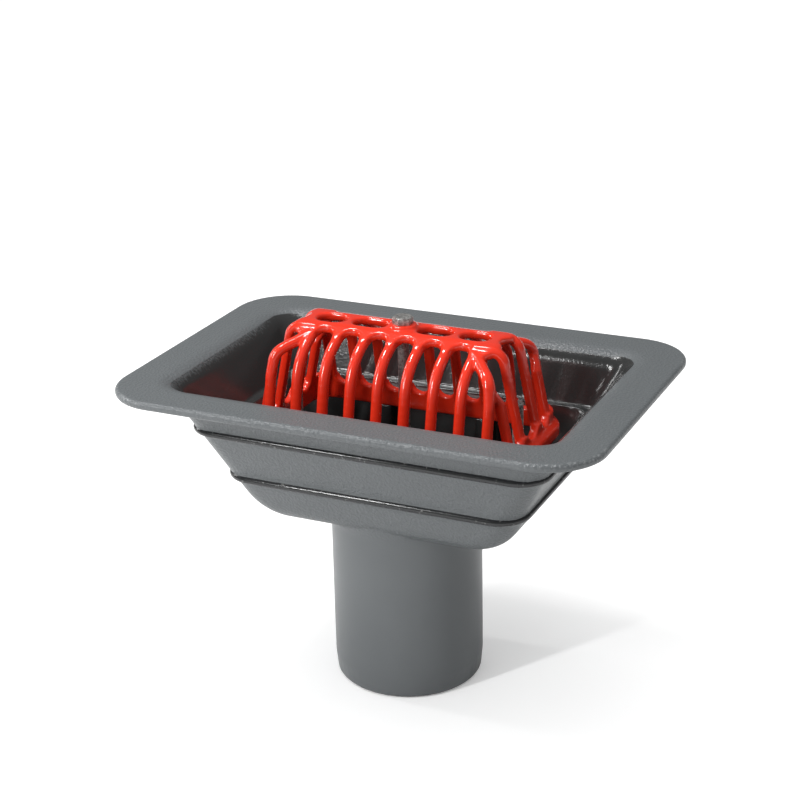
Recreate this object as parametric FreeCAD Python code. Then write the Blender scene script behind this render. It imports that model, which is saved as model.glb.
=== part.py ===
# Balcony drain: a cast tray with a bonding flange and a vertical outlet spigot,
# a bolted-down cast gravel grate, its long hex bolt and two studs.
# Millimetres. The origin is on the outlet axis at the spigot's lower end,
# +X runs along the long side of the flange and +Z points up.
import FreeCAD
import Part
import math
import os

# Flange and tray
flange_length = 360.0
flange_width = 250.0
flange_corner = 42.0
flange_thickness = 6.0
flange_edge_chamfer = 1.6
flange_height = 236.0
rim_width = 24.0
roll_radius = 20.0
end_taper = 0.53
side_taper = 0.35
wall_thickness = 6.0
tray_corner = 20.0
tray_bottom = 129.0
end_foot_radius = 40.0

# Inner step and the pocket below it
ledge_height = 197.0
ledge_width = 5.0
pocket_end_taper = 0.4
pocket_side_taper = 0.25
pocket_corner = 20.0
pocket_fall = 15.0

# Two cast lines round the outside of the tray
bead_height = 4.4
bead_chamfer = 1.3
upper_bead_level = 200.5
upper_bead_reach = 3.0
lower_bead_level = 163.0
lower_bead_reach = 2.5

# Outlet spigot
spigot_diameter = 110.0
spigot_wall = 5.0
spigot_lead_length = 16.0
spigot_lead_depth = 1.5
spigot_end_chamfer = 2.5
spigot_root_drop = 5.0
spigot_root_flare = 2.5

# Ribs on the long walls that carry the grate
rib_width = 12.0
rib_offset = 40.0
rib_overlap = 9.0
seat_height = 185.0

# Cast bridge along the middle of the tray
bridge_width = 12.0
bridge_bottom = 140.0
bridge_top = 158.0
boss_top = 165.0
bolt_boss_diameter = 24.0
stud_boss_diameter = 20.0

# Fasteners
thread_diameter = 8.0
thread_clearance = 0.05
bolt_length = 120.0
bolt_head_width = 13.0
bolt_head_height = 5.3
bolt_head_chamfer = 30.0
stud_inset = 14.5
stud_length = 80.0
stud_depth = 21.0
thread_point = 1.0

# Gravel grate: room round its foot in the pocket, then bars, foot rail and roof
grate_end_clearance = 17.3
grate_side_clearance = 10.15
grate_height = 83.0
bar_width = 7.0
bar_thickness = 6.0
bar_chamfer = 2.0
bar_drop = 0.3
side_bar_pairs = 3
side_bar_lean = 0.193
end_bar_lean = 0.21
rail_step = 4.5
rail_corner = 20.0
rail_height = 12.0
rail_chamfer = 4.0
band_height = 19.0
band_notch_height = 13.0
roof_thickness = 5.0
roof_fall = 0.445
roof_brink_radius = 10.0
roof_hole_chamfer = 1.0
roof_hole_margin = 1.5
roof_hole_web = 5.5
roof_flat_margin = 0.5
arch_overlap = 0.4
grate_boss_diameter = 20.0
grate_boss_height = 2.5
grate_bolt_hole = 9.0
corner_bar_width = 8.0
corner_knee_drop = 12.5
corner_shoulder_radius = 11.6
fork_drop = 23.0
fork_length = 10.0
fork_overlap = 2.0
fork_inset = 0.5

# Places on the grate as shares of its half-length or half-width at the foot
end_bar_share = 0.25
end_shoulder_share = 0.1386
end_arch_share = 0.733
roof_end_share = 0.775
roof_hole_end_share = 0.66
roof_hole_split_share = 0.537
side_shoulder_share = 0.655
side_arch_share = 0.26
roof_side_share = 0.3966
roof_corner_share = 0.241
roof_hole_width_share = 0.1466
corner_leg_shares = (0.82, 0.603)
corner_start_shares = (0.614, 0.31)
corner_knee_shares = (0.802, 0.69)


def rounded_rectangle(half_x, half_y, corner, z):
    """A closed wire of four lines and four arcs."""
    edges = []
    centres = ((1, 1, 0), (-1, 1, 90), (-1, -1, 180), (1, -1, 270))
    corners = []
    for side_x, side_y, start in centres:
        middle = FreeCAD.Vector(side_x * (half_x - corner), side_y * (half_y - corner), z)
        points = []
        for angle in (start, start + 45, start + 90):
            turn = math.radians(angle)
            points.append(middle + FreeCAD.Vector(corner * math.cos(turn), corner * math.sin(turn), 0))
        corners.append(points)
    for index, points in enumerate(corners):
        following = corners[(index + 1) % len(corners)]
        edges.append(Part.Arc(*points).toShape())
        edges.append(Part.LineSegment(points[2], following[0]).toShape())
    return Part.Wire(edges)


def plate(half_x, half_y, corner, bottom, thickness):
    outline = Part.Face(rounded_rectangle(half_x, half_y, corner, bottom))
    return outline.extrude(FreeCAD.Vector(0, 0, thickness))


def edges_on_level(shape, z, half_x=math.inf, half_y=math.inf):
    """Edges that lie flat at one height, within the given half-sizes."""
    found = []
    for edge in shape.Edges:
        box = edge.BoundBox
        flat = abs(box.ZMin - z) < 1e-3 and abs(box.ZMax - z) < 1e-3
        within_x = max(abs(box.XMin), abs(box.XMax)) < half_x
        within_y = max(abs(box.YMin), abs(box.YMax)) < half_y
        if flat and within_x and within_y:
            found.append(edge)
    return found


def hopper(wide_x, wide_y, top, bottom, taper_x, taper_y):
    """A four-sided solid with flat faces that narrows downwards."""
    depth = top - bottom
    narrow_x = wide_x - taper_x * depth
    narrow_y = wide_y - taper_y * depth
    solid = Part.makeWedge(-wide_x, 0, -wide_y, -narrow_y, -narrow_x, wide_x, depth, wide_y, narrow_y, narrow_x)
    solid.rotate(FreeCAD.Vector(0, 0, 0), FreeCAD.Vector(1, 0, 0), -90)
    solid.translate(FreeCAD.Vector(0, 0, top))
    return solid


def long_wall_edges(shape, top):
    """The corner and bottom edges of the two long walls, leaving out the top."""
    found = []
    for face in shape.Faces:
        normal = face.normalAt(0, 0)
        if face.Surface.TypeId == "Part::GeomPlane" and abs(normal.y) > 0.5:
            found += [edge for edge in face.Edges if edge.BoundBox.ZMin < top - 1e-3]
    return found


def rounded_hopper(wide_x, wide_y, top, bottom, taper_x, taper_y, end_radius, corner):
    """A hopper with a large round at the foot of each end and smaller ones along the long walls."""
    solid = hopper(wide_x, wide_y, top, bottom, taper_x, taper_y)
    across = [edge for edge in edges_on_level(solid, bottom) if edge.BoundBox.XLength < 1e-3]
    solid = solid.makeFillet(end_radius, across)
    return solid.makeFillet(corner, long_wall_edges(solid, top))


def roll_reach(taper):
    """How far the roll at the mouth stands back from the sharp corner that it rounds off."""
    return roll_radius * math.tan((math.pi / 2 - math.atan(taper)) / 2)


# Sizes of the body worked out from the driving dimensions
mouth_half_x = flange_length / 2 - rim_width - roll_reach(end_taper)
mouth_half_y = flange_width / 2 - rim_width - roll_reach(side_taper)
end_wall_across = wall_thickness / math.cos(math.atan(end_taper))
side_wall_across = wall_thickness / math.cos(math.atan(side_taper))
flange_bottom = flange_height - flange_thickness
hull_half_x = mouth_half_x - end_taper * flange_thickness + end_wall_across
hull_half_y = mouth_half_y - side_taper * flange_thickness + side_wall_across
inner_corner = tray_corner - wall_thickness
pocket_half_x = mouth_half_x - end_taper * (flange_height - ledge_height) - ledge_width
pocket_half_y = mouth_half_y - side_taper * (flange_height - ledge_height) - ledge_width
spigot_radius = spigot_diameter / 2
bore_radius = spigot_radius - spigot_wall

# Sizes of the grate and the fasteners, which follow the tray
foot_half_x = pocket_half_x - grate_end_clearance
foot_half_y = pocket_half_y - grate_side_clearance
corner_side_leg = corner_leg_shares[0] * foot_half_x
corner_end_leg = corner_leg_shares[1] * foot_half_y
side_bar_pitch = corner_side_leg / (side_bar_pairs + 1)
side_gap_radius = (side_bar_pitch - bar_width) / 2 + arch_overlap
end_bar_offset = end_bar_share * foot_half_y
roof_hole_half = roof_hole_width_share * foot_half_y
roof_edge = roof_hole_half + roof_hole_chamfer
roof_brink = roof_edge + roof_flat_margin + roof_brink_radius * math.tan(math.atan(roof_fall) / 2)
side_shoulder = side_shoulder_share * foot_half_y
end_shoulder = end_shoulder_share * foot_half_x
side_arch_line = side_arch_share * foot_half_y
end_arch_line = end_arch_share * foot_half_x
grate_top = seat_height + grate_height
head_seat = grate_top + grate_boss_height
thread_radius = thread_diameter / 2
bolt_end = head_seat - bolt_length
rib_inner = foot_half_y - rib_overlap
stud_offset = foot_half_x - stud_inset
stud_foot = boss_top - stud_depth


def bead(level, reach):
    depth = flange_bottom - level
    half_x = hull_half_x - end_taper * depth + reach
    half_y = hull_half_y - side_taper * depth + reach
    bottom = level - bead_height / 2
    ring = plate(half_x, half_y, tray_corner + reach, bottom, bead_height)
    rims = edges_on_level(ring, bottom) + edges_on_level(ring, bottom + bead_height)
    return ring.makeChamfer(bead_chamfer, rims)


def spigot():
    lead_radius = spigot_radius - spigot_lead_depth
    top = tray_bottom + tray_corner
    outline = Part.makePolygon([
        FreeCAD.Vector(0, 0, 0),
        FreeCAD.Vector(lead_radius, 0, 0),
        FreeCAD.Vector(spigot_radius, 0, spigot_lead_length),
        FreeCAD.Vector(spigot_radius, 0, tray_bottom - spigot_root_drop),
        FreeCAD.Vector(spigot_radius + spigot_root_flare, 0, top),
        FreeCAD.Vector(0, 0, top),
        FreeCAD.Vector(0, 0, 0),
    ])
    turned = Part.Face(outline).revolve(FreeCAD.Vector(0, 0, 0), FreeCAD.Vector(0, 0, 1), 360)
    return turned.makeChamfer(spigot_end_chamfer, edges_on_level(turned, 0))


def cavity():
    """The open space of the tray: the mouth down to the step, and the pocket below it."""
    mouth = hopper(mouth_half_x, mouth_half_y, flange_height, ledge_height, end_taper, side_taper)
    upright = [edge for edge in mouth.Edges if edge.BoundBox.ZLength > 1]
    mouth = mouth.makeFillet(inner_corner, upright)
    floor = tray_bottom + wall_thickness
    pocket = hopper(
        pocket_half_x, pocket_half_y, ledge_height, floor,
        pocket_end_taper, pocket_side_taper,
    )
    upright = [edge for edge in pocket.Edges if edge.BoundBox.ZLength > 1]
    pocket = pocket.makeFillet(pocket_corner, upright)
    pocket = pocket.makeChamfer(pocket_fall, edges_on_level(pocket, floor))
    return mouth.fuse(pocket)


def bridge():
    """The cast bar over the outlet, with a boss for the bolt and one for each stud."""
    bar = Part.makeBox(2 * stud_offset, bridge_width, bridge_top - bridge_bottom)
    bar.translate(FreeCAD.Vector(-stud_offset, -bridge_width / 2, bridge_bottom))
    seat = FreeCAD.Vector(0, 0, bridge_bottom)
    bosses = [Part.makeCylinder(bolt_boss_diameter / 2, boss_top - bridge_bottom, seat)]
    for side in (-1, 1):
        foot = FreeCAD.Vector(side * stud_offset, 0, tray_bottom)
        bosses.append(Part.makeCylinder(stud_boss_diameter / 2, boss_top - tray_bottom, foot))
    return bar.multiFuse(bosses)


def ribs():
    reach = flange_width / 2 - rib_inner
    solids = []
    for side_x in (-1, 1):
        for start_y in (rib_inner, -rib_inner - reach):
            rib = Part.makeBox(rib_width, reach, seat_height - tray_bottom)
            rib.translate(FreeCAD.Vector(side_x * rib_offset - rib_width / 2, start_y, tray_bottom))
            solids.append(rib)
    return solids


def drain_body():
    flange = plate(flange_length / 2, flange_width / 2, flange_corner, flange_bottom, flange_thickness)
    rims = edges_on_level(flange, flange_bottom) + edges_on_level(flange, flange_height)
    flange = flange.makeChamfer(flange_edge_chamfer, rims)
    hull = rounded_hopper(
        hull_half_x, hull_half_y, flange_bottom, tray_bottom,
        end_taper, side_taper, end_foot_radius, tray_corner,
    )
    shell = flange.fuse(hull)
    under = edges_on_level(shell, flange_bottom, hull_half_x + 1, hull_half_y + 1)
    shell = shell.makeFillet(roll_radius - wall_thickness, under)
    space = cavity()
    shell = shell.cut(space)
    mouth = edges_on_level(shell, flange_height, mouth_half_x + 1, mouth_half_y + 1)
    shell = shell.makeFillet(roll_radius, mouth)
    beads = [
        bead(upper_bead_level, upper_bead_reach).cut(space),
        bead(lower_bead_level, lower_bead_reach).cut(space),
    ]
    pipe = spigot().cut(space)
    bore = Part.makeCylinder(bore_radius, flange_height)
    body = shell.multiFuse(beads + [pipe]).cut(bore)
    inside = hull.fuse(bore)
    body = body.multiFuse([piece.common(inside) for piece in [bridge()] + ribs()])
    hole_radius = thread_radius + thread_clearance
    drill = [Part.makeCylinder(hole_radius, boss_top - bridge_bottom, FreeCAD.Vector(0, 0, bridge_bottom))]
    for side in (-1, 1):
        seat = FreeCAD.Vector(side * stud_offset, 0, stud_foot)
        drill.append(Part.makeCylinder(hole_radius, stud_depth, seat))
    return body.cut(drill).removeSplitter()


def unit(vector):
    return vector * (1 / vector.Length)


def offset_path(points, radii, offset):
    """Edges of a bent line moved sideways, with a round at each inner point. +offset is outward."""
    edges = []
    last = None
    for index, point in enumerate(points):
        ahead = unit(points[min(index + 1, len(points) - 1)] - points[min(index, len(points) - 2)])
        behind = unit(points[max(index, 1)] - points[max(index, 1) - 1])
        if 0 < index < len(points) - 1:
            bend = math.acos(max(-1, min(1, behind.dot(ahead))))
            reach = radii[index - 1] * math.tan(bend / 2)
            entry = point - behind * reach
            leave = point + ahead * reach
            centre = entry - FreeCAD.Vector(-behind.z, 0, behind.x) * radii[index - 1]
            radius = radii[index - 1] + offset
            start = centre + unit(entry - centre) * radius
            end = centre + unit(leave - centre) * radius
            middle = centre + unit(unit(entry - centre) + unit(leave - centre)) * radius
            edges.append(Part.LineSegment(last, start).toShape())
            edges.append(Part.Arc(start, middle, end).toShape())
            last = end
        else:
            moved = point + FreeCAD.Vector(-ahead.z, 0, ahead.x) * offset
            if last is not None:
                edges.append(Part.LineSegment(last, moved).toShape())
            last = moved
    return edges


def bar(points, radii, width):
    """A cast bar along a bent line in the XZ plane: square inside, with its outside edges taken off."""
    outer = offset_path(points, radii, bar_thickness / 2)
    inner = offset_path(points, radii, -bar_thickness / 2)
    first = Part.LineSegment(outer[0].Vertexes[0].Point, inner[0].Vertexes[0].Point).toShape()
    final = Part.LineSegment(outer[-1].Vertexes[-1].Point, inner[-1].Vertexes[-1].Point).toShape()
    outline = Part.Wire(Part.__sortEdges__(outer + inner + [first, final]))
    solid = Part.Face(outline).extrude(FreeCAD.Vector(0, width, 0))
    solid.translate(FreeCAD.Vector(0, -width / 2, 0))
    return solid.makeChamfer(bar_chamfer, matching_edges(solid, outer))


def matching_edges(solid, pattern):
    """The edges of a solid that repeat the given edges at another Y."""
    found = []
    for edge in solid.Edges:
        middle = edge.CenterOfMass
        for model in pattern:
            away = middle - model.CenterOfMass
            same_length = abs(edge.Length - model.Length) < 1e-3
            if same_length and math.hypot(away.x, away.z) < 1e-3:
                found.append(edge)
    return found


def end_line(depth):
    """Half of the roof's line over the ends, lowered by a depth: its shoulder, its foot and the radius."""
    foot = foot_half_x - depth * math.sqrt(1 + end_bar_lean ** 2)
    shoulder = FreeCAD.Vector(foot - end_bar_lean * (grate_height - depth), 0, grate_top - depth)
    return [shoulder, FreeCAD.Vector(foot, 0, seat_height)], [end_shoulder - depth]


def side_line(depth):
    """Half of the roof's line over the sides: where it starts to fall, its shoulder and its foot."""
    foot = foot_half_y - depth * math.sqrt(1 + side_bar_lean ** 2)
    drop = depth * math.sqrt(1 + roof_fall ** 2)
    brink = FreeCAD.Vector(roof_brink - (drop - depth) / roof_fall, 0, grate_top - depth)
    reach = foot - side_bar_lean * (grate_height - drop + roof_fall * roof_brink)
    reach /= 1 - side_bar_lean * roof_fall
    shoulder = FreeCAD.Vector(reach, 0, grate_top - drop - roof_fall * (reach - roof_brink))
    radii = [roof_brink_radius - depth, side_shoulder - depth]
    return [brink, shoulder, FreeCAD.Vector(foot, 0, seat_height)], radii


def bent_bar(start, line, lean, width):
    """A bar that leaves the roof level, follows the roof's line and leans out to the foot rail."""
    depth = bar_thickness / 2 + bar_drop
    points, radii = line(depth)
    foot = points[-1] + FreeCAD.Vector(-lean, 0, 1) * bar_chamfer
    points = [FreeCAD.Vector(start, 0, grate_top - depth)] + points[:-1] + [foot]
    return bar(points, radii, width)


def cut_end(point, ahead, width, inset=0):
    """The outline of a bar cut square to its line, or one that much smaller."""
    outward = FreeCAD.Vector(-ahead.z, 0, ahead.x)
    half = bar_thickness / 2 - inset
    side = width / 2 - inset
    outline = (
        (-half, -side), (half - bar_chamfer, -side), (half, bar_chamfer - side),
        (half, side - bar_chamfer), (half - bar_chamfer, side), (-half, side),
    )
    points = [point + outward * out + FreeCAD.Vector(0, across, 0) for out, across in outline]
    return Part.makePolygon(points + points[:1])


def leg(foot, lean, width):
    """The straight lower part of a corner bar's side or end leg, and the outline of its upper end."""
    top = grate_top - fork_drop - fork_length
    depth = bar_thickness / 2 + bar_drop
    foot_x = foot - depth * math.sqrt(1 + lean ** 2)
    points = [
        FreeCAD.Vector(foot_x - lean * (top - seat_height), 0, top),
        FreeCAD.Vector(foot_x - lean * bar_chamfer, 0, seat_height + bar_chamfer),
    ]
    return bar(points, [], width), cut_end(points[0], unit(points[1] - points[0]), width)


def corner_bar():
    """A corner bar: it leaves the roof, turns down at its knee and forks into a side and an end leg."""
    start = FreeCAD.Vector(corner_start_shares[0] * foot_half_x, corner_start_shares[1] * foot_half_y, 0)
    knee = FreeCAD.Vector(corner_knee_shares[0] * foot_half_x, corner_knee_shares[1] * foot_half_y, 0)
    run = knee - start
    turn = math.degrees(math.atan2(run.y, run.x))
    level = grate_top - bar_thickness / 2 - bar_drop
    fork_x = run.Length + side_bar_lean * (fork_drop - corner_knee_drop)
    points = [
        FreeCAD.Vector(0, 0, level - roof_fall * (start.y - roof_brink)),
        FreeCAD.Vector(run.Length, 0, level - corner_knee_drop),
        FreeCAD.Vector(fork_x, 0, grate_top - fork_drop),
    ]
    ahead = unit(points[2] - points[1])
    upper = placed(bar(points, [corner_shoulder_radius], corner_bar_width), turn, start)
    crotch = placed(cut_end(points[2], ahead, corner_bar_width), turn, start)
    within = cut_end(points[2] - ahead * fork_overlap, ahead, corner_bar_width, fork_inset)
    within = placed(within, turn, start)
    side_leg, side_end = leg(foot_half_y, side_bar_lean, bar_width)
    end_leg, end_end = leg(foot_half_x, end_bar_lean, bar_width)
    side_place = FreeCAD.Vector(corner_side_leg, 0, 0)
    end_place = FreeCAD.Vector(0, corner_end_leg, 0)
    side_branch = Part.makeLoft([crotch, placed(side_end, 90, side_place)], True, True)
    end_branch = Part.makeLoft([within, placed(end_end, 0, end_place)], True, True)
    return [
        upper, side_branch, end_branch,
        placed(side_leg, 90, side_place),
        placed(end_leg, 0, end_place),
    ]


def placed(solid, angle, shift):
    result = solid.copy()
    result.rotate(FreeCAD.Vector(0, 0, 0), FreeCAD.Vector(0, 0, 1), angle)
    result.translate(shift)
    return result


def mirrored(solid, about_x, about_y):
    result = solid
    if about_x:
        result = result.mirror(FreeCAD.Vector(0, 0, 0), FreeCAD.Vector(1, 0, 0))
    if about_y:
        result = result.mirror(FreeCAD.Vector(0, 0, 0), FreeCAD.Vector(0, 1, 0))
    return result


def grate_bars():
    side = bent_bar(roof_edge, side_line, side_bar_lean, bar_width)
    end = bent_bar(end_arch_line - 2 * bar_width, end_line, end_bar_lean, bar_width)
    corner = corner_bar()
    bars = []
    for index in range(-side_bar_pairs, side_bar_pairs + 1):
        for angle in (90, -90):
            bars.append(placed(side, angle, FreeCAD.Vector(index * side_bar_pitch, 0, 0)))
    for angle in (0, 180):
        for offset in (-end_bar_offset, end_bar_offset):
            bars.append(placed(end, angle, FreeCAD.Vector(0, offset, 0)))
    for about_x in (False, True):
        for about_y in (False, True):
            bars += [mirrored(piece, about_x, about_y) for piece in corner]
    return bars


def side_gap_middles():
    count = 2 * side_bar_pairs + 2
    return [(index - (count - 1) / 2) * side_bar_pitch for index in range(count)]


def end_gaps():
    """Arch radius and middle of each gap across an end, between the bars and the corner legs."""
    middle_half = end_bar_offset - bar_width / 2 + arch_overlap
    outer_half = (corner_end_leg - end_bar_offset - bar_width) / 2 + arch_overlap
    outer_middle = (corner_end_leg + end_bar_offset) / 2
    return [(middle_half, 0), (outer_half, outer_middle), (outer_half, -outer_middle)]


def cover(line, length, depth):
    """The solid under one of the roof's lines, lowered by a depth and run across the grate."""
    half, radii = line(depth)
    other = [FreeCAD.Vector(-point.x, 0, point.z) for point in reversed(half)]
    points = other + half
    edges = offset_path(points, radii[::-1] + radii, 0)
    edges.append(Part.LineSegment(points[-1], points[0]).toShape())
    solid = Part.Face(Part.Wire(edges)).extrude(FreeCAD.Vector(0, length, 0))
    solid.translate(FreeCAD.Vector(0, -length / 2, 0))
    return solid


def slot(start, end, half_width, bottom, thickness):
    """A long hole with round ends, between two places on the X axis."""
    left = min(start, end) + half_width
    right = max(start, end) - half_width
    corners = [FreeCAD.Vector(x, y, bottom) for x in (left, right) for y in (-half_width, half_width)]
    left_tip = FreeCAD.Vector(left - half_width, 0, bottom)
    right_tip = FreeCAD.Vector(right + half_width, 0, bottom)
    outline = Part.Wire([
        Part.LineSegment(corners[0], corners[2]).toShape(),
        Part.Arc(corners[2], right_tip, corners[3]).toShape(),
        Part.LineSegment(corners[3], corners[1]).toShape(),
        Part.Arc(corners[1], left_tip, corners[0]).toShape(),
    ])
    return Part.Face(outline).extrude(FreeCAD.Vector(0, 0, thickness))


def roof_hole_spans():
    """Both ends of the two long holes on one side of the boss."""
    first = grate_boss_diameter / 2 + roof_hole_margin
    last = roof_hole_end_share * foot_half_x
    split = first + roof_hole_split_share * (last - first - roof_hole_web)
    return [(first, split), (split + roof_hole_web, last)]


def grate_roof():
    """The roof with its four long holes, scalloped where the gaps between the bars begin."""
    bottom = seat_height + band_height
    thickness = grate_top - bottom
    corner = roof_corner_share * foot_half_y
    roof = plate(roof_end_share * foot_half_x, roof_side_share * foot_half_y, corner, bottom, thickness)
    cutters = []
    for middle in side_gap_middles()[1:-1]:
        for side in (-1, 1):
            seat = FreeCAD.Vector(middle, side * (side_arch_line + side_gap_radius), bottom)
            cutters.append(Part.makeCylinder(side_gap_radius, thickness, seat))
    end_half, end_middle = end_gaps()[0]
    for side in (-1, 1):
        seat = FreeCAD.Vector(side * (end_arch_line + end_half), end_middle, bottom)
        cutters.append(Part.makeCylinder(end_half, thickness, seat))
    for inner, outer in roof_hole_spans():
        for side in (-1, 1):
            cutters.append(slot(side * inner, side * outer, roof_hole_half, bottom, thickness))
    roof = roof.cut(cutters)
    side_cover = cover(side_line, 2 * foot_half_x, 0)
    end_cover = cover(end_line, 2 * foot_half_y, 0)
    under = cover(side_line, 2 * foot_half_x, roof_thickness)
    roof = roof.common(placed(side_cover, 90, FreeCAD.Vector())).common(end_cover)
    roof = roof.cut(placed(under, 90, FreeCAD.Vector()))
    rims = edges_on_level(roof, grate_top, half_y=roof_hole_half + 0.1)
    return roof.makeChamfer(roof_hole_chamfer, rims)


def grate_rail():
    """The foot rail: a flared foot and a band above it, notched so that each gap ends in a round."""
    notch_level = seat_height + band_notch_height
    band_half_x = foot_half_x - end_bar_lean * band_notch_height
    band_half_y = foot_half_y - side_bar_lean * band_notch_height
    band = plate(band_half_x, band_half_y, rail_corner, seat_height, band_height)
    cutters = []
    for middle in side_gap_middles():
        seat = FreeCAD.Vector(middle, -2 * foot_half_y, notch_level + side_gap_radius)
        cutters.append(Part.makeCylinder(side_gap_radius, 4 * foot_half_y, seat, FreeCAD.Vector(0, 1, 0)))
    for half, middle in end_gaps():
        seat = FreeCAD.Vector(-2 * foot_half_x, middle, notch_level + half)
        cutters.append(Part.makeCylinder(half, 4 * foot_half_x, seat, FreeCAD.Vector(1, 0, 0)))
    rail_x = band_half_x + rail_step
    rail_y = band_half_y + rail_step
    foot = plate(rail_x, rail_y, rail_corner + rail_step, seat_height, rail_height)
    foot = foot.makeChamfer(rail_chamfer, edges_on_level(foot, seat_height + rail_height))
    inner_x = band_half_x - bar_thickness
    inner_y = band_half_y - bar_thickness
    space = plate(inner_x, inner_y, rail_corner - bar_thickness, seat_height, band_height)
    return band.cut(cutters).fuse(foot).cut(space)


def gravel_grate():
    boss_height = roof_thickness + grate_boss_height
    boss_seat = FreeCAD.Vector(0, 0, grate_top - roof_thickness)
    boss = Part.makeCylinder(grate_boss_diameter / 2, boss_height, boss_seat)
    grate = grate_roof().multiFuse([boss, grate_rail()] + grate_bars())
    hole = Part.makeCylinder(grate_bolt_hole / 2, boss_height, boss_seat)
    return grate.cut(hole).removeSplitter()


def grate_bolt():
    corner_radius = bolt_head_width / 2 / math.cos(math.pi / 6)
    corners = []
    for index in range(7):
        turn = math.radians(60 * index + 30)
        corners.append(FreeCAD.Vector(corner_radius * math.cos(turn), corner_radius * math.sin(turn), head_seat))
    head = Part.Face(Part.makePolygon(corners)).extrude(FreeCAD.Vector(0, 0, bolt_head_height))
    flat_radius = bolt_head_width / 2
    cone_height = (corner_radius - flat_radius) * math.tan(math.radians(bolt_head_chamfer))
    low = FreeCAD.Vector(0, 0, head_seat + bolt_head_height - cone_height)
    dome = Part.makeCone(corner_radius, flat_radius, cone_height, low)
    column = Part.makeCylinder(corner_radius, bolt_head_height - cone_height, FreeCAD.Vector(0, 0, head_seat))
    head = head.common(column.fuse(dome))
    shank = Part.makeCylinder(thread_radius, bolt_length, FreeCAD.Vector(0, 0, bolt_end))
    shank = shank.makeChamfer(thread_point, edges_on_level(shank, bolt_end))
    return head.fuse(shank)


def tray_studs():
    studs = []
    for side in (-1, 1):
        stud = Part.makeCylinder(thread_radius, stud_length, FreeCAD.Vector(side * stud_offset, 0, stud_foot))
        ends = edges_on_level(stud, stud_foot) + edges_on_level(stud, stud_foot + stud_length)
        studs.append(stud.makeChamfer(thread_point, ends))
    return Part.makeCompound(studs)


nodes = {
    "drain_body": drain_body(),
    "gravel_grate": gravel_grate(),
    "grate_bolt": grate_bolt(),
    "tray_studs": tray_studs(),
}
os.makedirs("parts", exist_ok=True)
for name, shape in nodes.items():
    shape.exportStep("parts/" + name + ".step")
    print(name, "valid", shape.isValid(), "solids", len(shape.Solids), "volume", round(shape.Volume))
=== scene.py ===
import bpy
import math
from mathutils import Matrix, Vector


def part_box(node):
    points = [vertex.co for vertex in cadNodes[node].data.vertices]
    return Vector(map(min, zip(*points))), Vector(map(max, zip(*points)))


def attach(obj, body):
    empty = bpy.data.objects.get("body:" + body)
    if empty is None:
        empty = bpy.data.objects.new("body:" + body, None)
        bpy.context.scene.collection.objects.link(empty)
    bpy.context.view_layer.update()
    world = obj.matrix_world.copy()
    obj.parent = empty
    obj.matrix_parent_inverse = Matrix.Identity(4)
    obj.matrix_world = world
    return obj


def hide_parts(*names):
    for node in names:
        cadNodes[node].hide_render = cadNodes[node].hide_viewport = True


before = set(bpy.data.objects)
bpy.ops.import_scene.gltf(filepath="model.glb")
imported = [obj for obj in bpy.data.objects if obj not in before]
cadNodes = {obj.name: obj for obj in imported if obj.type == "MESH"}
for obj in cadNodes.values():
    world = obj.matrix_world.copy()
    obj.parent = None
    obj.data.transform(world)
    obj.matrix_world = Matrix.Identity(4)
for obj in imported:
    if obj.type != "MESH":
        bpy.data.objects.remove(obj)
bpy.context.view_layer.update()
print("frame loaded:", ", ".join(sorted(cadNodes)))

mergeReach = 0.00001  # points closer than this are one point
zeroToOne = (0.0, 1.0)
white = (1.0, 1.0, 1.0, 1.0)


def selectOnly(piece):
    bpy.ops.object.select_all(action="DESELECT")
    piece.select_set(True)
    bpy.context.view_layer.objects.active = piece


def applyModifier(piece, kind, **settings):
    selectOnly(piece)
    bpy.ops.object.modifier_add(type=kind)
    modifier = piece.modifiers[-1]
    for name, value in settings.items():
        setattr(modifier, name, value)
    bpy.ops.object.modifier_apply(modifier=modifier.name)


def mergedCopy(nodeName, pieceName):
    piece = bpy.data.objects.new(pieceName, cadNodes[nodeName].data.copy())
    bpy.context.scene.collection.objects.link(piece)
    piece.data.materials.clear()
    selectOnly(piece)
    bpy.ops.object.mode_set(mode="EDIT")
    bpy.ops.mesh.select_all(action="SELECT")
    bpy.ops.mesh.remove_doubles(threshold=mergeReach)
    bpy.ops.object.mode_set(mode="OBJECT")
    return piece


def joinPieces(pieces, name):
    selectOnly(pieces[0])
    for piece in pieces:
        piece.select_set(True)
    bpy.ops.object.join()
    joined = bpy.context.active_object
    joined.name = joined.data.name = name
    return joined


def takeNormals(piece, source, **limits):
    # shades the piece like the source, which then goes
    applyModifier(piece, "DATA_TRANSFER", object=source, use_loop_data=True,
                  data_types_loops={"CUSTOM_NORMAL"}, loop_mapping="POLYINTERP_NEAREST", **limits)
    selectOnly(source)
    bpy.ops.object.delete()


def castSkin(piece, look):
    # a casting under thick paint has no sharp edge, so the solid is remeshed and eased
    applyModifier(piece, "REMESH", mode="VOXEL", voxel_size=look["grid"], use_smooth_shade=True)
    applyModifier(piece, "SMOOTH", factor=look["easeShare"], iterations=look["easing"])
    if look["paint"] > 0:
        applyModifier(piece, "DISPLACE", strength=look["paint"], mid_level=0.0)  # along the normals
    selectOnly(piece)
    bpy.ops.object.shade_smooth()
    triangles = 2 * len(piece.data.polygons)
    if triangles > look["mostTriangles"]:
        bpy.ops.object.duplicate()
        dense = bpy.context.active_object
        applyModifier(piece, "DECIMATE", ratio=look["mostTriangles"] / triangles)
        takeNormals(piece, dense)  # so the thinning doesn't show
    print(piece.name, "remeshed from", triangles, "triangles to", len(piece.data.polygons), "faces")


def dress(piece, material):
    piece.data.materials.clear()
    piece.data.materials.append(material)


def finishPiece(piece, material, nodeName):
    dress(piece, material)
    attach(piece, "root")
    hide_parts(nodeName)


# node helpers: the last argument is the node's place in the editor

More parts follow.
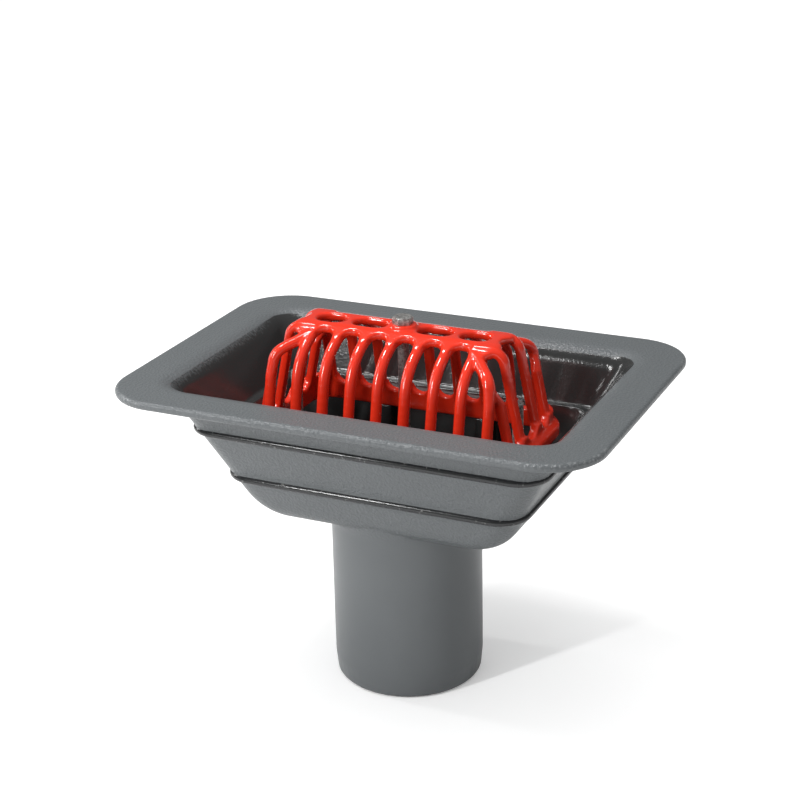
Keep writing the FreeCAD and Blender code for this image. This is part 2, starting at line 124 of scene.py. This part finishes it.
def addNode(tree, kind, place, **settings):
    node = tree.nodes.new(kind)
    node.location = place
    for name, value in settings.items():
        setattr(node, name, value)
    return node


def feed(tree, socket, value):
    if isinstance(value, (int, float, tuple)):
        socket.default_value = value
    else:
        tree.links.new(value, socket)


def newGroup(name, inputs, outputs):
    tree = bpy.data.node_groups.new(name, "ShaderNodeTree")
    for socketName, value in inputs.items():
        socket = tree.interface.new_socket(socketName, in_out="INPUT", socket_type="NodeSocketFloat")
        socket.default_value = value
    for socketName in outputs:
        tree.interface.new_socket(socketName, in_out="OUTPUT", socket_type="NodeSocketFloat")
    given = addNode(tree, "NodeGroupInput", (-900, 0))
    return tree, given, addNode(tree, "NodeGroupOutput", (700, 0))


def objectSpot(tree, place):
    return addNode(tree, "ShaderNodeTexCoord", place).outputs["Object"]


def noiseAt(tree, coordinates, scale, detail, place):
    noise = addNode(tree, "ShaderNodeTexNoise", place)
    noise.inputs["Detail"].default_value = detail
    tree.links.new(coordinates, noise.inputs["Vector"])
    feed(tree, noise.inputs["Scale"], scale)
    return noise.outputs["Fac"]


def mathNode(tree, operation, first, second, place, third=0.0):
    node = addNode(tree, "ShaderNodeMath", place, operation=operation)
    for socket, value in zip(node.inputs, (first, second, third)):
        feed(tree, socket, value)
    return node.outputs[0]


def rangeNode(tree, value, span, target, place):
    node = addNode(tree, "ShaderNodeMapRange", place, clamp=True)
    for name, number in zip(("From Min", "From Max", "To Min", "To Max"), span + target):
        node.inputs[name].default_value = number
    tree.links.new(value, node.inputs["Value"])
    return node.outputs["Result"]


def splitVector(tree, vector, place):
    split = addNode(tree, "ShaderNodeSeparateXYZ", place)
    tree.links.new(vector, split.inputs[0])
    return split.outputs


def stretchVector(tree, vector, factors, place):
    stretched = addNode(tree, "ShaderNodeVectorMath", place, operation="MULTIPLY")
    stretched.inputs[1].default_value = factors
    tree.links.new(vector, stretched.inputs[0])
    return stretched.outputs[0]


def mixColour(tree, share, first, second, place):
    node = addNode(tree, "ShaderNodeMix", place, data_type="RGBA")
    for number, value in ((0, share), (6, first), (7, second)):  # the factor and the two colours
        feed(tree, node.inputs[number], value)
    return node.outputs[2]


def placeGroup(tree, group, values, place):
    node = addNode(tree, "ShaderNodeGroup", place, node_tree=group)
    for name, value in values.items():
        node.inputs[name].default_value = value
    return node.outputs


def newMaterial(name):
    material = bpy.data.materials.new(name)
    material.use_nodes = True
    return material, material.node_tree, material.node_tree.nodes["Principled BSDF"]


def bumpFrom(tree, shader, height, strength, distance):
    bump = addNode(tree, "ShaderNodeBump", (-250, -300))
    bump.inputs["Strength"].default_value = strength
    bump.inputs["Distance"].default_value = distance
    tree.links.new(height, bump.inputs["Height"])
    tree.links.new(bump.outputs["Normal"], shader.inputs["Normal"])


# shared surface effects
grainLook = {"peelDetail": 2.0, "pitDetail": 3.0, "toneScale": 22.0, "toneDetail": 4.0, "toneSpan": (0.3, 0.7)}
wearLook = {"chipDetail": 4.0, "edgeSpan": (0.0, 0.06), "chipSpan": (0.52, 0.66)}


def buildPaintGrain(look):
    # cast pits and paint peel as one height, with a slow change of tone
    tree, given, result = newGroup(
        "paintGrain", {"Peel Scale": 900.0, "Pit Scale": 260.0, "Pit Share": 0.5}, ("Height", "Tone"))
    spot = objectSpot(tree, (-900, -250))
    peel = noiseAt(tree, spot, given.outputs["Peel Scale"], look["peelDetail"], (-600, 200))
    pits = noiseAt(tree, spot, given.outputs["Pit Scale"], look["pitDetail"], (-600, 0))
    tone = noiseAt(tree, spot, look["toneScale"], look["toneDetail"], (-600, -250))
    deepPits = mathNode(tree, "MULTIPLY", pits, given.outputs["Pit Share"], (-300, 0))
    height = mathNode(tree, "ADD", peel, deepPits, (0, 100))
    tree.links.new(height, result.inputs["Height"])
    tree.links.new(tone, result.inputs["Tone"])
    return tree


def buildEdgeWear(look):
    # rubbed corners and tiny chips, from how far an edge stands out
    tree, given, result = newGroup("edgeWear", {"Start": 0.53, "Chip Scale": 350.0}, ("Wear",))
    point = addNode(tree, "ShaderNodeNewGeometry", (-900, 200)).outputs["Pointiness"]
    spot = objectSpot(tree, (-900, -250))
    chips = noiseAt(tree, spot, given.outputs["Chip Scale"], look["chipDetail"], (-600, -100))
    above = mathNode(tree, "SUBTRACT", point, given.outputs["Start"], (-600, 200))
    edge = rangeNode(tree, above, look["edgeSpan"], zeroToOne, (-300, 200))
    chipped = rangeNode(tree, chips, look["chipSpan"], zeroToOne, (-300, -100))
    wear = mathNode(tree, "MULTIPLY", edge, chipped, (0, 50))
    tree.links.new(wear, result.inputs["Wear"])
    return tree


paintGrain = buildPaintGrain(grainLook)
edgeWear = buildEdgeWear(wearLook)


def paintBase(tree, look):
    # what every coat begins with: its grain, its colour and its roughness
    grain = placeGroup(tree, paintGrain, look["grain"], (-1100, 0))
    colour = mixColour(tree, grain["Tone"], look["darkTone"], look["colour"], (-850, 100))
    rough = rangeNode(tree, grain["Tone"], grainLook["toneSpan"], look["roughness"], (-850, -150))
    return grain, colour, rough


# grey coat of the body, dark and glossy inside the tray: a dark coat there, with painted shade of the recess in
# its depth and in its streaky border
greyCoatLook = {
    "colour": (0.126, 0.136, 0.141, 1.0),
    "darkTone": (0.110, 0.119, 0.124, 1.0),
    # pale chips: partly rubbed paint, partly painted highlight along the flange's edges
    "worn": (0.55, 0.56, 0.56, 1.0),
    # painted shade: the inner colour is a dark coat, darkened further to stand for the shade in the tray
    "insideCoatAndShade": (0.030, 0.031, 0.031, 1.0),
    "grain": {"Peel Scale": 500.0, "Pit Scale": 230.0, "Pit Share": 0.15},
    "wear": {"Start": 0.51, "Chip Scale": 520.0},
    "chipAndGlintDepths": (0.003, 0.001),  # chips and their painted edge glints fade out between these, below the flange's top
    "roughness": (0.35, 0.29),  # below 0.28 the denoiser draws outlines
    "insideGloss": -0.16,
    "bump": (1.0, 0.0008),
    "runStretch": (1.0, 1.0, 0.03),  # paint inside has run down the walls
    "runScale": 560.0,
    "runDetail": 2.0,
    "runHeight": 0.07,
    "shadeEdgeReach": 0.011,
    "borderSpan": (0.0, 0.0065),  # depth over which the dark coat and its painted shade begin
    "backShadeRise": 0.005,  # painted shade: it starts higher on the back wall, where the roll lies darker
    "backSpan": (0.05, 0.08),
    "insideCalm": -0.88,
    "pipeTop": 0.126,
    "pipeFade": 0.006,
    "pipeCalm": 0.03,
    "mouthHalf": (0.14397, 0.0868),  # inner wall at the flange's top
    "wallTaper": (0.53, 0.35),
    "flangeTop": 0.236,
    "midWall": 0.0034,
    "maskEdge": 0.0005,
    "cornerRadius": 0.014,
    "trayFloor": 0.131,
    "boreRadius": 0.0525,
    "boreEdge": 0.001,
    "downSpan": (-0.16, -0.06),  # outer walls face down
}


def runNoise(tree, spot, look, place):
    drawn = stretchVector(tree, spot, look["runStretch"], place)
    return noiseAt(tree, drawn, look["runScale"], look["runDetail"], (place[0] + 200, place[1]))


def wallDistance(tree, axes, depth, look):
    # how far a point lies outside the inner wall, whose upright corners are round
    raised, squares = [], []
    for axis, half, taper, row in zip("XY", look["mouthHalf"], look["wallTaper"], (200, 0)):
        away = mathNode(tree, "ABSOLUTE", axes[axis], 0.0, (-900, row))
        drawnIn = mathNode(tree, "MULTIPLY_ADD", depth, taper, (-700, row), -half)
        reach = mathNode(tree, "ADD", away, drawnIn, (-500, row))
        raised.append(mathNode(tree, "ADD", reach, look["cornerRadius"], (-400, row)))
        clipped = mathNode(tree, "MAXIMUM", raised[-1], 0.0, (-250, row))
        squares.append(mathNode(tree, "POWER", clipped, 2.0, (-100, row)))
    beyond = mathNode(tree, "SQRT", mathNode(tree, "ADD", *squares, (50, 350)), 0.0, (200, 350))
    inner = mathNode(tree, "MINIMUM", mathNode(tree, "MAXIMUM", *raised, (50, 200)), 0.0, (200, 200))
    cornered = mathNode(tree, "ADD", beyond, inner, (350, 300))
    return mathNode(tree, "SUBTRACT", cornered, look["cornerRadius"], (450, 300))


def buildInsideCoatShadeMask(look):
    # 1 on the tray's inner walls and in the bore, 0 outside: where the dark coat and its painted shade go
    tree, _, result = newGroup("insideCoatShadeMask", {}, ("Inside",))
    spot = objectSpot(tree, (-1300, 0))
    axes = splitVector(tree, spot, (-1100, 0))
    depth = mathNode(tree, "SUBTRACT", look["flangeTop"], axes["Z"], (-900, -300))
    outer = wallDistance(tree, axes, depth, look)
    wallSpan = (look["midWall"], look["midWall"] - look["maskEdge"])
    within = rangeNode(tree, outer, wallSpan, zeroToOne, (-100, 100))
    floorSpan = (look["trayFloor"], look["trayFloor"] + look["maskEdge"])
    above = rangeNode(tree, axes["Z"], floorSpan, zeroToOne, (-100, -100))
    raggedShadeEdge = runNoise(tree, spot, look, (-900, -450))  # painted shadow edge: the dark starts in streaks, like the jagged shade line on the inner walls
    raggedShadeEdge = mathNode(tree, "MULTIPLY_ADD", raggedShadeEdge, look["shadeEdgeReach"], (-500, -450), -look["shadeEdgeReach"] / 2)
    higher = rangeNode(tree, axes["Y"], look["backSpan"], (0.0, look["backShadeRise"]), (-500, -500))
    border = mathNode(tree, "ADD", mathNode(tree, "ADD", depth, raggedShadeEdge, (-300, -350)), higher, (-200, -450))
    below = rangeNode(tree, border, look["borderSpan"], zeroToOne, (-100, -300))
    tray = mathNode(tree, "MULTIPLY", mathNode(tree, "MULTIPLY", within, above, (100, 0)), below, (250, -50))
    radius = addNode(tree, "ShaderNodeVectorMath", (-700, -600), operation="LENGTH")
    tree.links.new(stretchVector(tree, spot, (1.0, 1.0, 0.0), (-900, -600)), radius.inputs[0])
    boreSpan = (look["boreRadius"], look["boreRadius"] - look["boreEdge"])
    bore = rangeNode(tree, radius.outputs["Value"], boreSpan, zeroToOne, (-100, -600))
    facing = addNode(tree, "ShaderNodeTexCoord", (-1300, -800)).outputs["Normal"]
    lean = splitVector(tree, facing, (-1100, -800))
    upward = rangeNode(tree, lean["Z"], look["downSpan"], zeroToOne, (-100, -800))
    walls = mathNode(tree, "MULTIPLY", tray, upward, (400, -100))
    inside = mathNode(tree, "MAXIMUM", walls, bore, (550, 0))
    tree.links.new(inside, result.inputs["Inside"])
    return tree


def buildGreyCoat(look):
    material, tree, shader = newMaterial("greyCoat")
    grain, outer, satin = paintBase(tree, look)
    wear = placeGroup(tree, edgeWear, look["wear"], (-1100, -300))["Wear"]
    inside = placeGroup(tree, buildInsideCoatShadeMask(look), {}, (-1100, 300))["Inside"]
    # painted shade: the inner walls take the dark colour
    walls = mixColour(tree, inside, outer, look["insideCoatAndShade"], (-650, 100))
    spot = objectSpot(tree, (-1500, -600))
    level = splitVector(tree, spot, (-1300, -700))["Z"]
    rimSpan = tuple(look["flangeTop"] - depth for depth in look["chipAndGlintDepths"])
    rim = rangeNode(tree, level, rimSpan, zeroToOne, (-850, -400))
    chips = mathNode(tree, "MULTIPLY", wear, rim, (-650, -350))  # only along the flange's upper edges: rubbed paint, and a painted highlight of the edge's glinting dashes
    worn = mixColour(tree, chips, walls, look["worn"], (-450, 100))
    tree.links.new(worn, shader.inputs["Base Color"])
    gloss = mathNode(tree, "MULTIPLY", inside, look["insideGloss"], (-650, -250))
    rough = mathNode(tree, "ADD", satin, gloss, (-450, -150))
    tree.links.new(rough, shader.inputs["Roughness"])
    runs = runNoise(tree, spot, look, (-1300, -500))
    runs = mathNode(tree, "MULTIPLY", runs, look["runHeight"], (-900, -500))
    insideRuns = mathNode(tree, "MULTIPLY", runs, inside, (-700, -500))
    pipeSpan = (look["pipeTop"], look["pipeTop"] + look["pipeFade"])
    calm = rangeNode(tree, level, pipeSpan, (look["pipeCalm"], 1.0), (-1100, -700))
    smooth = mathNode(tree, "MULTIPLY_ADD", inside, look["insideCalm"], (-900, -800), 1.0)
    share = mathNode(tree, "MULTIPLY", calm, smooth, (-800, -700))
    peel = mathNode(tree, "MULTIPLY", grain["Height"], share, (-700, -650))
    bumpFrom(tree, shader, mathNode(tree, "ADD", peel, insideRuns, (-500, -550)), *look["bump"])
    return material


# gloss red coat of the grate
redCoatLook = {
    "colour": (0.78, 0.032, 0.010, 1.0),
    "darkTone": (0.70, 0.025, 0.008, 1.0),
    "worn": (0.88, 0.12, 0.07, 1.0),
    "grain": {"Peel Scale": 420.0, "Pit Scale": 150.0, "Pit Share": 0.6},
    "wear": {"Start": 0.56, "Chip Scale": 300.0},
    "roughness": (0.26, 0.18),
    "bump": (0.12, 0.0004),
    "coatWeight": 0.7,
    "coatRoughness": 0.04,
}


def buildRedCoat(look):
    material, tree, shader = newMaterial("redCoat")
    grain, colour, rough = paintBase(tree, look)
    wear = placeGroup(tree, edgeWear, look["wear"], (-1100, -300))["Wear"]
    worn = mixColour(tree, wear, colour, look["worn"], (-450, 100))
    tree.links.new(worn, shader.inputs["Base Color"])
    tree.links.new(rough, shader.inputs["Roughness"])
    bumpFrom(tree, shader, grain["Height"], *look["bump"])
    shader.inputs["Coat Weight"].default_value = look["coatWeight"]
    shader.inputs["Coat Roughness"].default_value = look["coatRoughness"]
    return material


# near-black colour of the two cast lines: painted shade, standing for the shade and dark reflection along them
lineShadeCoatLook = {
    "colour": (0.026, 0.027, 0.028, 1.0),
    "darkTone": (0.018, 0.019, 0.020, 1.0),
    "worn": (0.30, 0.30, 0.29, 1.0),
    "grain": {"Peel Scale": 420.0, "Pit Scale": 160.0, "Pit Share": 0.6},
    "chipSpan": (0.98, 1.06),
    "chipShare": 0.5,
    "roughness": (0.18, 0.12),
    "bump": (0.2, 0.0004),
}


def buildLineShadeCoat(look):
    material, tree, shader = newMaterial("lineShadeCoat")
    grain, colour, rough = paintBase(tree, look)
    chips = rangeNode(tree, grain["Height"], look["chipSpan"], (0.0, look["chipShare"]), (-650, 300))
    worn = mixColour(tree, chips, colour, look["worn"], (-450, 100))
    tree.links.new(worn, shader.inputs["Base Color"])
    tree.links.new(rough, shader.inputs["Roughness"])
    bumpFrom(tree, shader, grain["Height"], *look["bump"])
    return material


# mottled zinc of the bolt and the studs
zincSteelLook = {
    "bright": (0.56, 0.55, 0.53, 1.0),
    "dull": (0.17, 0.165, 0.16, 1.0),
    "grain": {"Peel Scale": 900.0, "Pit Scale": 420.0, "Pit Share": 1.0},
    "mottleSpan": (0.75, 1.25),
    "roughSpan": (0.4, 1.2),
    "roughness": (0.6, 0.4),
    "bump": (0.2, 0.0001),
    "metallic": 0.7,
}


def buildZincSteel(look):
    material, tree, shader = newMaterial("zincSteel")
    height = placeGroup(tree, paintGrain, look["grain"], (-900, 0))["Height"]
    mottle = rangeNode(tree, height, look["mottleSpan"], zeroToOne, (-800, 250))
    tone = mixColour(tree, mottle, look["dull"], look["bright"], (-650, 100))
    tree.links.new(tone, shader.inputs["Base Color"])
    rough = rangeNode(tree, height, look["roughSpan"], look["roughness"], (-650, -150))
    tree.links.new(rough, shader.inputs["Roughness"])
    bumpFrom(tree, shader, height, *look["bump"])
    shader.inputs["Metallic"].default_value = look["metallic"]
    return material


greyCoat = buildGreyCoat(greyCoatLook)
lineShadeCoat = buildLineShadeCoat(lineShadeCoatLook)
redCoat = buildRedCoat(redCoatLook)
zincSteel = buildZincSteel(zincSteelLook)
print("materials made")

# drain body: one casting
bodyLook = {"grid": 0.0011, "easing": 2, "easeShare": 0.5, "paint": 0.0, "mostTriangles": 195000}
pipeLook = {"radius": 0.055, "foot": 0.018, "top": 0.122, "slack": 0.0006, "sides": 256, "reach": 0.3}


def roundPipe(piece, look):
    # the solid's facets would show on the plain spigot, so its shading comes from a true cylinder
    wall = [point.index for point in piece.data.vertices
            if abs(point.co.xy.length - look["radius"]) < look["slack"]
            and look["foot"] < point.co.z < look["top"]]
    piece.vertex_groups.new(name="pipeWall").add(wall, 1.0, "REPLACE")
    bpy.ops.object.select_all(action="DESELECT")
    bpy.ops.mesh.primitive_cylinder_add(vertices=look["sides"], radius=look["radius"], depth=look["reach"],
                                        end_fill_type="NOTHING", location=(0.0, 0.0, look["top"] / 2))
    bpy.ops.object.shade_smooth()
    takeNormals(piece, bpy.context.active_object, vertex_group="pipeWall")
    piece.vertex_groups.clear()
    print(piece.name, "pipe wall rounded at", len(wall), "points")


castBody = mergedCopy("drain_body", "castBody")
castSkin(castBody, bodyLook)
roundPipe(castBody, pipeLook)
finishPiece(castBody, greyCoat, "drain_body")

# cast lines: a half-round lip over each of the two lines round the tray
castLineLook = {
    "hullHalf": (0.14758, 0.09106),  # outer wall at the flange's underside
    "hullTop": 0.230,
    "hullTaper": (0.53, 0.35),
    "corner": 0.020,
    "cornerSteps": 16,
    "levels": (0.2005, 0.163),
    "radius": 0.0027,
    "roundSteps": 5,
    "standOut": 0.0006,
}


def buildCastLines(look):
    lips = []
    for level in look["levels"]:
        halves = [half - taper * (look["hullTop"] - level) + look["standOut"]
                  for half, taper in zip(look["hullHalf"], look["hullTaper"])]
        bpy.ops.object.select_all(action="DESELECT")
        bpy.ops.mesh.primitive_plane_add(size=2.0, location=(0, 0, level))
        lip = bpy.context.active_object
        lip.scale = (halves[0], halves[1], 1.0)
        bpy.ops.object.transform_apply(location=True, rotation=True, scale=True)
        bpy.ops.object.mode_set(mode="EDIT")
        bpy.ops.mesh.select_all(action="SELECT")
        bpy.ops.mesh.bevel(offset=look["corner"] + look["standOut"], segments=look["cornerSteps"],
                           affect="VERTICES")
        bpy.ops.mesh.select_all(action="SELECT")
        bpy.ops.mesh.delete(type="ONLY_FACE")
        bpy.ops.object.mode_set(mode="OBJECT")
        bpy.ops.object.convert(target="CURVE")
        lip.data.bevel_depth, lip.data.bevel_resolution = look["radius"], look["roundSteps"]
        bpy.ops.object.convert(target="MESH")
        lips.append(bpy.context.active_object)
    lines = joinPieces(lips, "castLines")
    bpy.ops.object.shade_smooth()
    return lines


castLines = buildCastLines(castLineLook)
# painted shade: the cast lines take the near-black colour
dress(castLines, lineShadeCoat)
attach(castLines, "root")
print("cast lines laid on")

# gravel grate: one casting under thick gloss paint
grateLook = {"grid": 0.001, "easing": 7, "easeShare": 0.5, "paint": 0.0003, "mostTriangles": 190000}
castGrate = mergedCopy("gravel_grate", "castGrate")
castSkin(castGrate, grateLook)
finishPiece(castGrate, redCoat, "gravel_grate")

# threads on the bolt and the studs
threadLook = {"pitch": 0.00125, "depth": 0.00068, "crest": 0.16, "stepsPerTurn": 28, "point": 0.001,
              "startBelow": 1.5, "spareTurns": 2, "smoothAngle": 30.0}


def openOutline(points, name):
    # a ring of edges with its closing edge taken out
    bpy.ops.mesh.primitive_circle_add(vertices=len(points))
    outline = bpy.context.active_object
    outline.name = outline.data.name = name
    bpy.ops.object.mode_set(mode="EDIT")
    bpy.ops.mesh.select_all(action="DESELECT")
    bpy.ops.object.mode_set(mode="OBJECT")
    outline.data.edges[len(points) - 1].select = True
    bpy.ops.object.mode_set(mode="EDIT")
    bpy.ops.mesh.select_mode(type="EDGE")
    bpy.ops.mesh.delete(type="EDGE")
    bpy.ops.object.mode_set(mode="OBJECT")
    for vertex, point in zip(outline.data.vertices, points):
        vertex.co = point
    return outline


def threadedRod(name, axis, bottom, top, radius, look, points):
    # a five-point tooth turned up a screw line, cut flat at both ends
    pitch, low, half = look["pitch"], radius - look["depth"], look["crest"] / 2
    tooth = ((low, 0.0), (radius, 0.5 - half), (radius, 0.5 + half), (low, 1.0 - half), (low, 1.0))
    rod = openOutline([(away, 0.0, bottom + (along - look["startBelow"]) * pitch) for away, along in tooth], name)
    turns = math.ceil((top - bottom) / pitch) + look["spareTurns"]
    applyModifier(rod, "SCREW", axis="Z", angle=2 * math.pi, screw_offset=pitch, iterations=turns,
                  steps=look["stepsPerTurn"], render_steps=look["stepsPerTurn"], use_merge_vertices=True,
                  merge_threshold=mergeReach)
    bpy.ops.object.mode_set(mode="EDIT")
    for level, outward in ((bottom, -1), (top, 1)):
        bpy.ops.mesh.select_all(action="SELECT")
        bpy.ops.mesh.bisect(plane_co=(0, 0, level), plane_no=(0, 0, outward), use_fill=True, clear_outer=True)
    bpy.ops.mesh.select_all(action="SELECT")
    bpy.ops.mesh.normals_make_consistent(inside=False)
    bpy.ops.object.mode_set(mode="OBJECT")
    for vertex in rod.data.vertices:  # the cut points at the ends
        reach = radius
        if "top" in points:
            reach = min(reach, radius - look["point"] + top - vertex.co.z)
        if "bottom" in points:
            reach = min(reach, radius - look["point"] + vertex.co.z - bottom)
        away = math.hypot(vertex.co.x, vertex.co.y)
        if away > reach:
            vertex.co.x *= reach / away
            vertex.co.y *= reach / away
    rod.data.transform(Matrix.Translation((axis[0], axis[1], 0.0)))
    return rod


def smoothThreads():
    bpy.ops.object.shade_smooth_by_angle(angle=math.radians(threadLook["smoothAngle"]))


# grate bolt: chamfered hexagon head, plain shank, thread at its foot
boltLook = {
    "headHeight": 0.0053,
    "chamferAngle": 30.0,
    "chamferShare": 0.97,  # of the width across flats
    "chamferSides": 96,
    "shankRadius": 0.004,
    "shankSides": 48,
    "threadLength": 0.028,
    "edge": 0.00015,
    "edgeSteps": 2,
    "edgeAngle": 25.0,
}


def buildBolt(look):
    low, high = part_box("grate_bolt")
    seat = high.z - look["headHeight"]
    headMiddle = (0, 0, seat + look["headHeight"] / 2)
    cornerRadius = high.y
    topRadius = cornerRadius * math.cos(math.pi / 6) * look["chamferShare"]
    bpy.ops.object.select_all(action="DESELECT")
    bpy.ops.mesh.primitive_cylinder_add(vertices=6, radius=cornerRadius, depth=look["headHeight"],
                                        location=headMiddle)
    head = bpy.context.active_object
    reach = topRadius + look["headHeight"] / math.tan(math.radians(look["chamferAngle"]))
    bpy.ops.mesh.primitive_cone_add(vertices=look["chamferSides"], radius1=reach, radius2=topRadius,
                                    depth=look["headHeight"], location=headMiddle)
    cone = bpy.context.active_object
    applyModifier(head, "BOOLEAN", operation="INTERSECT", object=cone)
    bpy.data.objects.remove(cone)
    bpy.ops.object.transform_apply(location=True, rotation=True, scale=True)
    applyModifier(head, "BEVEL", width=look["edge"], segments=look["edgeSteps"], limit_method="ANGLE",
                  angle_limit=math.radians(look["edgeAngle"]))
    threadTop = low.z + look["threadLength"]
    bpy.ops.object.select_all(action="DESELECT")
    bpy.ops.mesh.primitive_cylinder_add(vertices=look["shankSides"], radius=look["shankRadius"],
                                        depth=seat - threadTop, location=(0, 0, (seat + threadTop) / 2))
    shank = bpy.context.active_object
    bpy.ops.object.transform_apply(location=True, rotation=True, scale=True)
    bpy.ops.object.select_all(action="DESELECT")
    thread = threadedRod("boltThread", (0, 0), low.z, threadTop, look["shankRadius"], threadLook, ("bottom",))
    bolt = joinPieces([head, shank, thread], "hexBolt")
    smoothThreads()
    return bolt


hexBolt = buildBolt(boltLook)
finishPiece(hexBolt, zincSteel, "grate_bolt")

# tray studs: two like rods, threaded all along
studLook = {"radius": 0.004}


def buildStuds(look):
    low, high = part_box("tray_studs")
    rods = []
    for side in (-1, 1):
        bpy.ops.object.select_all(action="DESELECT")
        axis = (side * (high.x - look["radius"]), 0)
        rods.append(threadedRod("studRod", axis, low.z, high.z, look["radius"], threadLook, ("top", "bottom")))
    studs = joinPieces(rods, "threadedStuds")
    smoothThreads()
    return studs


threadedStuds = buildStuds(studLook)
finishPiece(threadedStuds, zincSteel, "tray_studs")
print("bolt and studs threaded")

# studio: pale floor, white surround, soft boxes and the photograph's view
studioLook = {
    "floorSize": 60.0,
    "floorColour": (0.9, 0.9, 0.9, 1.0),
    "floorBounce": (0.85, 0.85, 0.85, 1.0),
    "floorRoughness": 0.9,
    "floorGlow": 0.25,
    "surround": 0.14,
    "skyStrength": 2.3,
    "skySpread": 90.0,
    "aim": (0.0, 0.0, 0.2),
    # name: place, width, height, watts, shows in the gloss
    "softBoxes": {
        "keyLeft": ((-1.45, -0.05, 0.8), 0.10, 0.80, 4.5, True),
        "frontStrip": ((-0.66, -1.18, 1.0), 0.08, 0.65, 11.0, True),
        "frontFill": ((-0.66, -1.43, 0.65), 1.0, 0.7, 4.5, False),
        "overhead": ((-0.62, 0.0, 1.7), 0.35, 0.3, 9.0, True),
    },
    "cameraPlace": (0.5152, -1.1113, 0.6962),
    "cameraTurn": (68.456, 1.191, 24.551),
    "lens": 83.18,
    "sensorWidth": 36.0,
}


def buildFloor(look):
    bpy.ops.object.select_all(action="DESELECT")
    bpy.ops.mesh.primitive_plane_add(size=look["floorSize"])
    floor = bpy.context.active_object
    floor.name = "paleFloor"
    material, tree, shader = newMaterial("paleFloor")
    for name, value in (("Base Color", look["floorColour"]), ("Roughness", look["floorRoughness"]),
                        ("Specular IOR Level", 0.0), ("Emission Color", white),
                        ("Emission Strength", look["floorGlow"])):
        shader.inputs[name].default_value = value
    bounce = addNode(tree, "ShaderNodeBsdfDiffuse", (0, -300))  # white to look at, but a duller light from below
    bounce.inputs["Color"].default_value = look["floorBounce"]
    path = addNode(tree, "ShaderNodeLightPath", (0, 400))
    either = addNode(tree, "ShaderNodeMixShader", (300, 0))
    for number, output in enumerate((path.outputs["Is Camera Ray"], bounce.outputs[0], shader.outputs[0])):
        tree.links.new(output, either.inputs[number])
    tree.links.new(either.outputs[0], tree.nodes["Material Output"].inputs["Surface"])
    floor.data.materials.append(material)


def buildSurround(look):
    world = bpy.data.worlds.new("studioSurround")
    world.use_nodes = True
    tree = world.node_tree
    surround = tree.nodes["Background"]
    surround.inputs["Color"].default_value = white
    seen = addNode(tree, "ShaderNodeLightPath", (-600, 0)).outputs["Is Camera Ray"]
    strength = rangeNode(tree, seen, zeroToOne, (look["surround"], 1.0), (-300, 0))  # white behind the floor
    tree.links.new(strength, surround.inputs["Strength"])
    bpy.context.scene.world = world


def addLamp(light, shows):
    lamp = bpy.data.objects.new(light.name, light)
    lamp.visible_glossy = shows  # False lights the part but leaves the gloss clear
    bpy.context.scene.collection.objects.link(lamp)
    return lamp


def buildLights(look):
    for name, (place, width, height, watts, shows) in look["softBoxes"].items():
        light = bpy.data.lights.new(name, "AREA")
        light.shape, light.size, light.size_y, light.energy = "RECTANGLE", width, height, watts
        lamp = addLamp(light, shows)
        lamp.location = place
        lamp.rotation_euler = (Vector(look["aim"]) - Vector(place)).to_track_quat("-Z", "Y").to_euler()
    sky = bpy.data.lights.new("softSky", "SUN")  # straight down and wide, so the floor is evenly pale
    sky.energy, sky.angle = look["skyStrength"], math.radians(look["skySpread"])
    addLamp(sky, False)


def buildCamera(look):
    camera = bpy.data.objects.new("photoCamera", bpy.data.cameras.new("photoCamera"))
    camera.data.lens = look["lens"]
    camera.data.sensor_width = look["sensorWidth"]
    camera.location = look["cameraPlace"]
    camera.rotation_euler = [math.radians(turn) for turn in look["cameraTurn"]]
    bpy.context.scene.collection.objects.link(camera)
    bpy.context.scene.camera = camera
    bpy.context.scene.view_settings.view_transform = "Standard"


for buildStep in (buildFloor, buildSurround, buildLights, buildCamera):
    buildStep(studioLook)
print("studio set")
